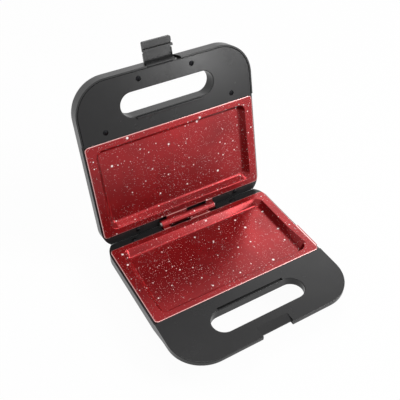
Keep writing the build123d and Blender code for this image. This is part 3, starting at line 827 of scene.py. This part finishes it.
BLACK_STEEL = SheetMetal(
    "blackened_steel",
    "dark_steel",
    colour=(0.022, 0.022, 0.024, 1),
    dull=(0.014, 0.014, 0.016, 1),
    streaks=(700.0, 700.0, 700.0),
    rough_low=0.28,
    rough_high=0.45,
)
ALUMINIUM = SheetMetal(
    "mill_aluminium",
    "bare_aluminium",
    colour=(0.8, 0.8, 0.81, 1),
    dull=(0.7, 0.7, 0.72, 1),
    streaks=(25.0, 700.0, 700.0),
    rough_low=0.22,
    rough_high=0.4,
)
SLEEVE = WovenSleeve("woven_sleeve", "sleeve", colour=(0.84, 0.82, 0.76, 1), shade=(0.55, 0.52, 0.45, 1))
RED_LENS = TintedLens("red_signal_lens", "red_lens", (0.65, 0.02, 0.015, 1))
GREEN_LENS = TintedLens("green_signal_lens", "green_lens", (0.02, 0.42, 0.08, 1))
LAMP_GLASS = TintedLens("lamp_glass", "lamp_glass", (0.9, 0.8, 0.72, 1), clarity=0.9)


@dataclass(frozen=True)
class Places:
    """Where the two halves lie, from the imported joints.

    Half coordinates are x along the hinge, y across it and negative to the handle, and depth from the
    parting plane into the half, all in metres.
    """

    hinge: Vector
    swing: float

    def base(self, x: float, y: float, depth: float) -> Vector:
        """A point of the base.

        Args:
            x: Place along the hinge.
            y: Place across the hinge.
            depth: Depth from the parting plane.

        Returns:
            The point in the frame.
        """
        return Vector((x, self.hinge.y + y, self.hinge.z - depth))

    def lid(self, x: float, y: float, depth: float) -> Vector:
        """A point of the open lid.

        Args:
            x: Place along the hinge.
            y: Place across the hinge.
            depth: Depth from the parting plane.

        Returns:
            The point in the frame.
        """
        turn = -self.swing
        ahead = self.hinge.y + y * cos(turn) - depth * sin(turn)
        above = self.hinge.z + y * sin(turn) + depth * cos(turn)
        return Vector((x, ahead, above))

    def face_frame(self, half: Half, x: float, y: float, depth: float) -> Matrix:
        """Place and turn of something that faces the parting plane.

        Args:
            half: The base or the lid.
            x: Place along the hinge.
            y: Place across the hinge.
            depth: Depth from the parting plane.

        Returns:
            Matrix whose Z axis points out of the face.
        """
        spot = self.base if half is Half.BASE else self.lid
        origin = spot(x, y, depth)
        out = (spot(x, y, depth - 1.0) - origin).normalized()
        across = Vector((1.0, 0.0, 0.0))
        along = out.cross(across)
        turn = Matrix((across, along, out)).transposed().to_4x4()
        return Matrix.Translation(origin) @ turn


def lathe(profile: list[tuple[float, float]], steps: int) -> bmesh.types.BMesh:
    """Turns a profile round the Z axis.

    Args:
        profile: Radius and height of each point, from the axis out and back to the axis.
        steps: Number of steps round the axis.

    Returns:
        The turned mesh, closed at the axis.
    """
    mesh = bmesh.new()
    turn = [2 * pi * step / steps for step in range(steps)]
    rings = []
    for radius, height in profile:
        if radius == 0.0:
            rings.append([mesh.verts.new((0.0, 0.0, height))])
        else:
            rings.append([mesh.verts.new((radius * cos(a), radius * sin(a), height)) for a in turn])
    for low, high in zip(rings, rings[1:]):
        for step in range(steps):
            after = (step + 1) % steps
            corners = [low[step % len(low)], low[after % len(low)], high[after % len(high)], high[step % len(high)]]
            unique = list(dict.fromkeys(corners))
            if len(unique) > 2:
                mesh.faces.new(unique)
    bmesh.ops.recalc_face_normals(mesh, faces=mesh.faces)
    return mesh


def keep(mesh: bmesh.types.BMesh, name: str, smooth_angle: float = SMOOTH_ANGLE) -> bpy.types.Object:
    """Makes an object of a mesh, smooth but for its sharp edges.

    Args:
        mesh: The mesh, which is freed.
        name: The object's name.
        smooth_angle: Edges sharper than this stay sharp, in degrees.

    Returns:
        The object, linked to the scene.
    """
    limit = radians(smooth_angle)
    for edge in mesh.edges:
        edge.smooth = len(edge.link_faces) == 2 and edge.calc_face_angle(0.0) < limit
    for face in mesh.faces:
        face.smooth = True
    data = bpy.data.meshes.new(name)
    mesh.to_mesh(data)
    mesh.free()
    piece = bpy.data.objects.new(name, data)
    bpy.context.scene.collection.objects.link(piece)
    return piece


@dataclass
class Wardrobe:
    """Holds every finish as a built material, and dresses pieces in them."""

    shelf: EffectShelf = field(default_factory=EffectShelf)
    made: dict[str, bpy.types.Material] = field(default_factory=dict)

    def material(self, finish: Finish) -> bpy.types.Material:
        """The material of a finish, built at its first use.

        Args:
            finish: The finish.

        Returns:
            Its material.
        """
        if finish.name not in self.made:
            self.made[finish.name] = finish.make(self.shelf)
        return self.made[finish.name]

    def dress_node(self, node: str, finish: Finish) -> None:
        """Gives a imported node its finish.

        Args:
            node: The node's name.
            finish: What it is made of.
        """
        piece = frame["nodes"][node]
        if not piece.material_slots:
            piece.data.materials.append(None)
        for slot in piece.material_slots:
            slot.material = self.material(finish)
        log.info("node %s dressed as %s", node, finish.name)

    def dress_piece(self, piece: bpy.types.Object, finish: Finish, half: Half) -> None:
        """Gives a new piece its finish and the body it moves with.

        Args:
            piece: The new piece.
            finish: What it is made of.
            half: What it is fastened to.
        """
        piece.data.materials.append(self.material(finish))
        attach(piece, half.value)
        log.info("piece %s dressed as %s", piece.name, finish.name)


@dataclass(frozen=True)
class CrossScrew:
    """Round-headed screw with a cross-shaped driver recess, in metres.

    The head is a low rim with a round crown over it, rim_share and crown_share of its rise. The last part
    of the shank narrows to its tip.
    """

    shank: float = 0.0015
    head: float = 0.0027
    rise: float = 0.0016
    rim_share: float = 0.45
    crown_share: float = 0.55
    crown_angles: tuple[float, ...] = (0.2, 0.5, 0.8, 1.1, 1.35)
    bevel_rise: float = 0.08
    bevel_radius: float = 0.96
    tip_start: float = 0.9
    tip_radius: float = 0.6
    cross_length: float = 0.0031
    cross_width: float = 0.0008
    cross_depth: float = 0.0011
    cross_taper: float = 0.55
    steps: int = 28
    first_turn: float = 0.5
    next_turn: float = 1.1

    def body(self, length: float) -> bmesh.types.BMesh:
        """The screw without its recess: head up, seat at height zero.

        Args:
            length: Length of the shank under the head.

        Returns:
            The turned mesh.
        """
        foot = self.rise * self.rim_share
        crown = [(self.head * sin(a), foot + self.rise * self.crown_share * cos(a)) for a in self.crown_angles]
        rim = [(self.head, foot), (self.head, self.rise * self.bevel_rise), (self.head * self.bevel_radius, 0.0)]
        tip = [(self.shank * self.tip_radius, -length), (0.0, -length)]
        shank = [(self.shank, 0.0), (self.shank, -length * self.tip_start)] + tip
        return lathe([(0.0, self.rise)] + crown + rim + shank, self.steps)

    def cutter(self) -> bmesh.types.BMesh:
        """The tapered cross that the driver fits.

        Returns:
            Its mesh, two crossing blades.
        """
        mesh = bmesh.new()
        top = self.rise + self.cross_depth
        bottom = self.rise - self.cross_depth
        for long, wide in ((self.cross_length, self.cross_width), (self.cross_width, self.cross_length)):
            for corner in bmesh.ops.create_cube(mesh, size=1.0)["verts"]:
                taper = self.cross_taper if corner.co.z < 0 else 1.0
                corner.co.x *= long * taper
                corner.co.y *= wide * taper
                corner.co.z = bottom if corner.co.z < 0 else top
        return mesh

    def build(self, name: str, length: float) -> bpy.types.Object:
        """One screw with its recess cut.

        Args:
            name: The object's name.
            length: Length of the shank.

        Returns:
            The screw, head up at the origin.
        """
        screw = keep(self.body(length), name)
        tool = keep(self.cutter(), name + ".tool")
        cut = screw.modifiers.new("recess", "BOOLEAN")
        cut.object = tool
        cut.solver = "EXACT"
        cut.use_self = True
        depsgraph = bpy.context.evaluated_depsgraph_get()
        data = bpy.data.meshes.new_from_object(screw.evaluated_get(depsgraph))
        screw.modifiers.clear()
        screw.data = data
        bpy.data.objects.remove(tool)
        return screw

    def row(self, name: str, length: float, frames: list[Matrix]) -> bpy.types.Object:
        """Several like screws as one piece, each turned on by a different angle.

        Args:
            name: The piece's name.
            length: Length of each shank.
            frames: Place and turn of each.

        Returns:
            The piece.
        """
        one = self.build(name + ".one", length)
        mesh = bmesh.new()
        for number, place in enumerate(frames):
            spun = place @ Matrix.Rotation(self.first_turn + self.next_turn * number, 4, "Z")
            copy = one.data.copy()
            copy.transform(spun)
            mesh.from_mesh(copy)
            bpy.data.meshes.remove(copy)
        bpy.data.objects.remove(one)
        return keep(mesh, name, SCREW_SMOOTH_ANGLE)


@dataclass(frozen=True)
class Housing:
    """The black housing of one half, with its inner frame and its visible screws.

    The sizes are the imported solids', in metres and half coordinates: what the screws stand on and where.
    """

    half: Half
    places: Places
    wardrobe: Wardrobe
    face_depth: float = 0.00075
    head_recess: float = 0.0017
    ledge_depth: float = 0.0029
    front_spread: float = 0.0331
    front_reach: float = 0.1885
    side_spread: float = 0.0813
    side_reach: float = 0.1395
    rear_long: float = 0.0745
    rear_short: float = 0.0655
    rear_reach: float = 0.0045
    shank_length: float = 0.0084

    def dress(self) -> None:
        """Dresses the shell and the inner frame."""
        self.wardrobe.dress_node(f"{self.half.value}_shell", BLACK_SHELL)
        self.wardrobe.dress_node(f"{self.half.value}_frame", BLACK_COVER)

    def rear_frames(self) -> list[Matrix]:
        """Places of the two screws beside the hinge.

        Returns:
            One matrix for each screw.
        """
        turn = 1 if self.half is Half.BASE else -1
        ends = [-turn * self.rear_long, turn * self.rear_short]
        return [self.places.face_frame(self.half, x, -self.rear_reach, self.ledge_depth) for x in ends]

    def cover_frames(self) -> list[Matrix]:
        """Places of the four recessed screws of the handle cover.

        Returns:
            One matrix for each screw.
        """
        depth = self.face_depth + self.head_recess
        spots = [(x, -self.front_reach) for x in (-self.front_spread, self.front_spread)]
        spots += [(x, -self.side_reach) for x in (-self.side_spread, self.side_spread)]
        return [self.places.face_frame(self.half, x, y, depth) for x, y in spots]

    def screws(self) -> None:
        """Replaces the plain screws by ones with driver recesses."""
        frames = self.rear_frames()
        node = "base_rear_screws"
        if self.half is Half.LID:
            frames += self.cover_frames()
            node = "lid_frame_screws"
        piece = CrossScrew().row(f"{self.half.value}_cross_screws", self.shank_length, frames)
        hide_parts(node)
        self.wardrobe.dress_piece(piece, BLACK_STEEL, self.half)


@dataclass(frozen=True)
class CookingPlate:
    """A coated cooking plate with what lies behind it."""

    level: str
    coating: SpeckledCoating
    wardrobe: Wardrobe

    def dress(self) -> None:
        """Dresses the plate, its heating tube, its reflector and their screws."""
        finishes = {
            "plate": self.coating,
            "plate_screws": ZINC,
            "heater": ZINC,
            "reflector": ALUMINIUM,
            "reflector_screws": ZINC,
        }
        for part, finish in finishes.items():
            self.wardrobe.dress_node(f"{self.level}_{part}", finish)


@dataclass(frozen=True)
class Fittings:
    """The other pieces: inside and under the base, the hinge pin, and the lid's lamps and latch."""

    wardrobe: Wardrobe

    def dress(self) -> None:
        """Dresses every remaining node."""
        finishes = {
            "base_handle_screws": BLACK_STEEL,
            "rubber_feet": RUBBER,
            "thermostat": CERAMIC,
            "thermostat_strap": ZINC,
            "thermal_fuse": SLEEVE,
            "fuse_clip": ZINC,
            "terminal_block": WHITE_PLASTIC,
            "cord_bushing": RUBBER,
            "hinge_pin": ZINC,
            "hinge_pin_clip": ZINC,
            "power_lens": RED_LENS,
            "ready_lens": GREEN_LENS,
            "indicator_lamps": LAMP_GLASS,
            "latch": BLACK_SHELL,
            "latch_pin": ZINC,
        }
        for node, finish in finishes.items():
            self.wardrobe.dress_node(node, finish)


@dataclass(frozen=True)
class Lamp:
    """A square soft lamp: where it stands, what it faces, its side length, and its power in watts."""

    name: str
    place: Point
    aim: Point
    size: float
    power: float

    def build(self) -> None:
        """Adds the lamp to the scene."""
        data = bpy.data.lights.new(self.name, "AREA")
        data.shape = "SQUARE"
        data.size = self.size
        data.energy = self.power
        lamp = bpy.data.objects.new(self.name, data)
        lamp.location = self.place
        lamp.rotation_euler = (Vector(self.aim) - Vector(self.place)).to_track_quat("-Z", "Y").to_euler()
        bpy.context.scene.collection.objects.link(lamp)


LAMPS = (
    Lamp("key_lamp", (1.1, -0.9, 1.3), (0.0, 0.0, 0.08), 0.7, 22.0),
    Lamp("top_lamp", (0.0, 0.15, 1.7), (0.0, 0.0, 0.05), 0.7, 8.0),
    Lamp("front_lamp", (0.8, -1.45, 0.15), (0.0, 0.0, 0.1), 0.26, 3.6),
    Lamp("rear_lamp", (1.05, 1.0, 1.3), (0.0, 0.0, 0.1), 0.7, 2.6),
)


@dataclass(frozen=True)
class Studio:
    """Camera, lamps, floor and world of the product shot.

    The camera's angles are in degrees, and its aim and distance are in plate widths from the hinge.
    """

    places: Places
    plate_width: float = 0.218
    azimuth: float = -30.347
    elevation: float = 42.224
    roll: float = 0.239
    aim_right: float = 0.0784
    aim_up: float = 0.0853
    distance: float = 3.4808
    focal_pixels: float = 601.66
    image_pixels: float = 400.0
    sensor: float = 36.0
    clip_start: float = 0.01
    world_strength: float = 0.3
    floor_size: float = 8.0
    floor_light: Colour = (0.86, 0.86, 0.86, 1)
    floor_dark: Colour = (0.84, 0.84, 0.84, 1)
    floor_cloud_scale: float = 3.0
    floor_cloud_start: float = 0.3
    floor_cloud_end: float = 0.7
    floor_glow_share: float = 0.965

    def camera(self) -> None:
        """Sets the camera to the photograph's viewpoint."""
        az = radians(self.azimuth)
        el = radians(self.elevation)
        ro = radians(self.roll)
        back = Vector((sin(az) * cos(el), -cos(az) * cos(el), sin(el)))
        level = Vector((cos(az), sin(az), 0.0))
        rise = back.cross(level)
        right = level * cos(ro) + rise * sin(ro)
        up = rise * cos(ro) - level * sin(ro)
        eye = (right * self.aim_right + up * self.aim_up + back * self.distance) * self.plate_width
        turn = Matrix((right, up, back)).transposed().to_4x4()
        data = bpy.data.cameras.new("photo_camera")
        data.sensor_width = self.sensor
        data.lens = self.sensor * self.focal_pixels / self.image_pixels
        data.clip_start = self.clip_start
        camera = bpy.data.objects.new("photo_camera", data)
        camera.matrix_world = Matrix.Translation(self.places.hinge + eye) @ turn
        bpy.context.scene.collection.objects.link(camera)
        bpy.context.scene.camera = camera

    def seen_white(self, tree: Tree) -> Socket:
        """Mask of the rays that see the background as plain white.

        Args:
            tree: The tree of the world or of the floor's material.

        Returns:
            The mask's socket.
        """
        path = tree.add("ShaderNodeLightPath").outputs
        seen = tree.math("MAXIMUM", path["Is Camera Ray"], path["Is Glossy Ray"])
        return tree.math("MAXIMUM", seen, path["Is Transmission Ray"])

    def world(self) -> None:
        """Even soft light from all round, seen as white."""
        world = bpy.data.worlds.new("studio")
        tree = fresh_tree(world)
        strength = tree.spread(self.seen_white(tree), self.world_strength, 1.0)
        light = tree.add("ShaderNodeBackground", {"Color": WHITE, "Strength": strength})
        tree.add("ShaderNodeOutputWorld", {"Surface": light.outputs[0]})
        bpy.context.scene.world = world

    def floor(self) -> None:
        """Pale floor that keeps the object's soft shadow."""
        mesh = bmesh.new()
        bmesh.ops.create_grid(mesh, x_segments=1, y_segments=1, size=self.floor_size / 2)
        floor = keep(mesh, "floor")
        material = bpy.data.materials.new("pale_floor")
        tree = fresh_tree(material)
        place = tree.add("ShaderNodeTexCoord").outputs["Object"]
        cloud = tree.noise(place, self.floor_cloud_scale, detail=4.0)
        mask = tree.window(cloud, self.floor_cloud_start, self.floor_cloud_end)
        paint = tree.add("ShaderNodeBsdfDiffuse", {"Color": tree.blend(mask, self.floor_dark, self.floor_light)})
        glow = tree.add("ShaderNodeEmission", {"Color": WHITE, "Strength": 1.0})
        share = tree.math("MULTIPLY", self.seen_white(tree), self.floor_glow_share)
        both = tree.add("ShaderNodeMixShader", {0: share, 1: paint.outputs[0], 2: glow.outputs[0]})
        tree.add("ShaderNodeOutputMaterial", {"Surface": both.outputs[0]})
        floor.data.materials.append(material)

    def build(self) -> None:
        """Builds the whole studio."""
        bpy.context.scene.view_settings.view_transform = "Standard"
        self.camera()
        self.world()
        self.floor()
        for lamp in LAMPS:
            lamp.build()
        log.info("studio built")


def hinge_of(name: str) -> tuple[Vector, float]:
    """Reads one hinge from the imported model.

    Args:
        name: The joint's name.

    Returns:
        A point on its axis and its full swing in radians.

    Raises:
        ValueError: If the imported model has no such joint.
    """
    for joint in frame["record"]["behaviour"]["joints"]:
        if joint["name"] == name:
            return Vector(joint["pos_m"]), radians(joint["range_deg"][1])
    raise ValueError(f"no joint {name}")


def main() -> None:
    """Builds and dresses the sandwich maker, then the studio round it."""
    logging.basicConfig(level=logging.INFO, format="%(name)s %(message)s")
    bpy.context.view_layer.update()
    hinge, swing = hinge_of("lid_hinge")
    places = Places(hinge, swing)
    wardrobe = Wardrobe()
    for half in Half:
        housing = Housing(half, places, wardrobe)
        housing.dress()
        housing.screws()
    for level, lean, slide in (("lower", 0.0, WALL_SLIDE), ("upper", swing, -WALL_SLIDE)):
        coating = SpeckledCoating(
            f"speckled_red_coating_{level}",
            "red_coating",
            colour=RED,
            deep=DEEP_RED,
            speckle=SPECKLE_WHITE,
            # The edge colour is a painted highlight along the plate's outer rim
            edge=PAINTED_EDGE_HIGHLIGHT,
            hinge=hinge.to_tuple(),
            lean=lean,
            slide=slide,
        )
        CookingPlate(level, coating, wardrobe).dress()
    Fittings(wardrobe).dress()
    Studio(places).build()


if __name__ == "__main__":
    main()
